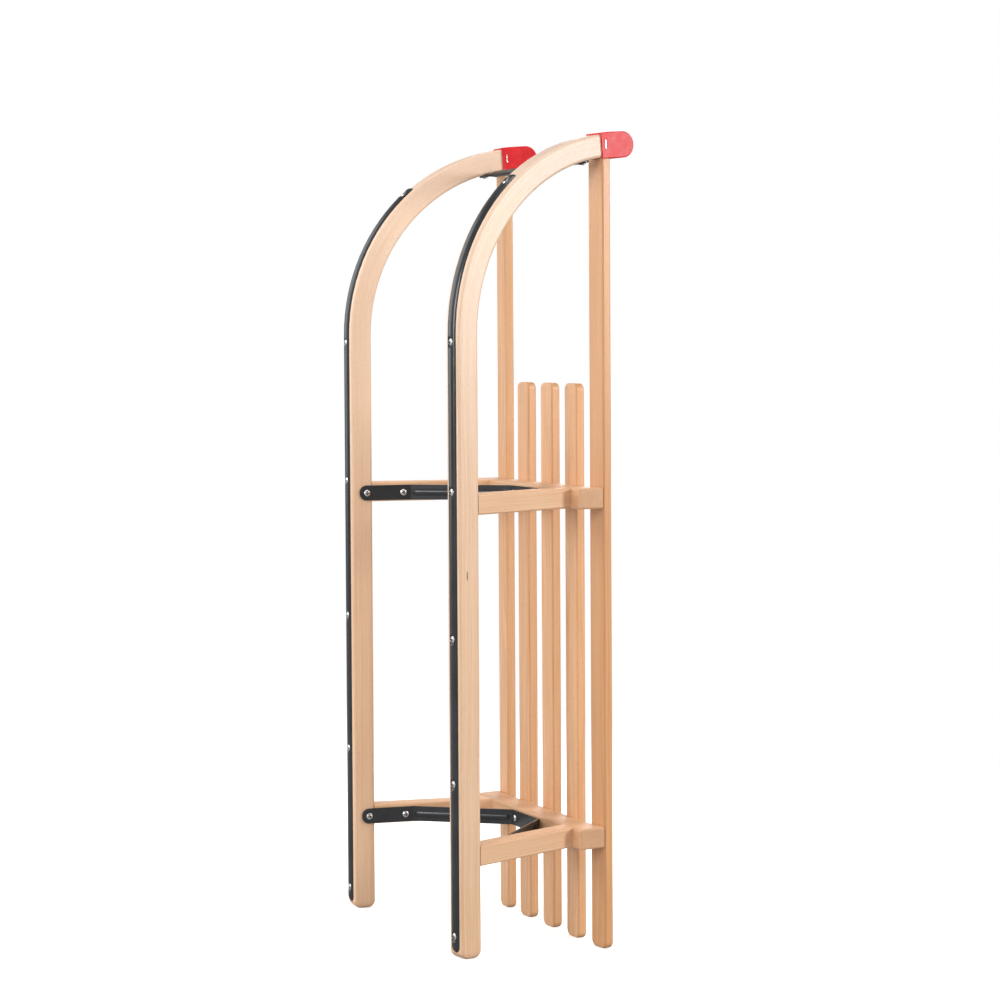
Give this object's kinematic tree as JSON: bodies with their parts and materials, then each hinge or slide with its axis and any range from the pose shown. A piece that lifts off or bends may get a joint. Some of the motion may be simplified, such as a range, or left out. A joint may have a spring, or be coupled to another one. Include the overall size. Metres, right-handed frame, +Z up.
{
  "type": "wooden toboggan",
  "caption": "Davos-type wooden toboggan: bent runners with capped horns, slatted seat on legs and crossbars, steel soles and braces.",
  "frame": {"origin": "on the ground, under the middle of the sled's outline, with the sled standing on its rear end", "axes": "The sled stands on its rear end in its rest pose: the rear edges of the seat slats and the runners' rounded heels touch the ground, so it leans 5.35 degrees towards its soles. +Z is up, and is 5.35 degrees off the direction of travel. +X is the seat side, -X the soles. +Y is the right-hand side seen from the back of a rider, the -Y side assembly is the left one. Turning the row 84.65 degrees about +Y so that +X comes to point up and +Z forwards lays the sled on its soles."},
  "size_m": [0.2972, 0.3208, 0.9992],
  "materials": {
    "beech": "light beech, satin clear lacquer",
    "black_steel": "satin charcoal black paint",
    "zinc_screws": "zinc plated, cross recess",
    "red_plastic": "soft moulded red plastic, satin gloss",
    "staples": "bright staple wire"
  },
  "bodies": {
    "root": {"brace_front": "black_steel", "brace_rear": "black_steel", "brace_screws_front": "zinc_screws", "brace_screws_rear": "zinc_screws", "cap_staples_left": "staples", "cap_staples_right": "staples", "crossbar_front": "beech", "crossbar_rear": "beech", "front_strut": "black_steel", "horn_cap_left": "red_plastic", "horn_cap_right": "red_plastic", "horn_screws": "zinc_screws", "leg_front_left": "beech", "leg_front_right": "beech", "leg_rear_left": "beech", "leg_rear_right": "beech", "runner_left": "beech", "runner_right": "beech", "seat_screws_front": "zinc_screws", "seat_screws_rear": "zinc_screws", "seat_slat_center": "beech", "seat_slat_left": "beech", "seat_slat_right": "beech", "side_rail_left": "beech", "side_rail_right": "beech", "sole_screws_left": "zinc_screws", "sole_screws_right": "zinc_screws", "sole_steel_left": "black_steel", "sole_steel_right": "black_steel", "strut_screws": "zinc_screws"}
  },
  "joints": []
}
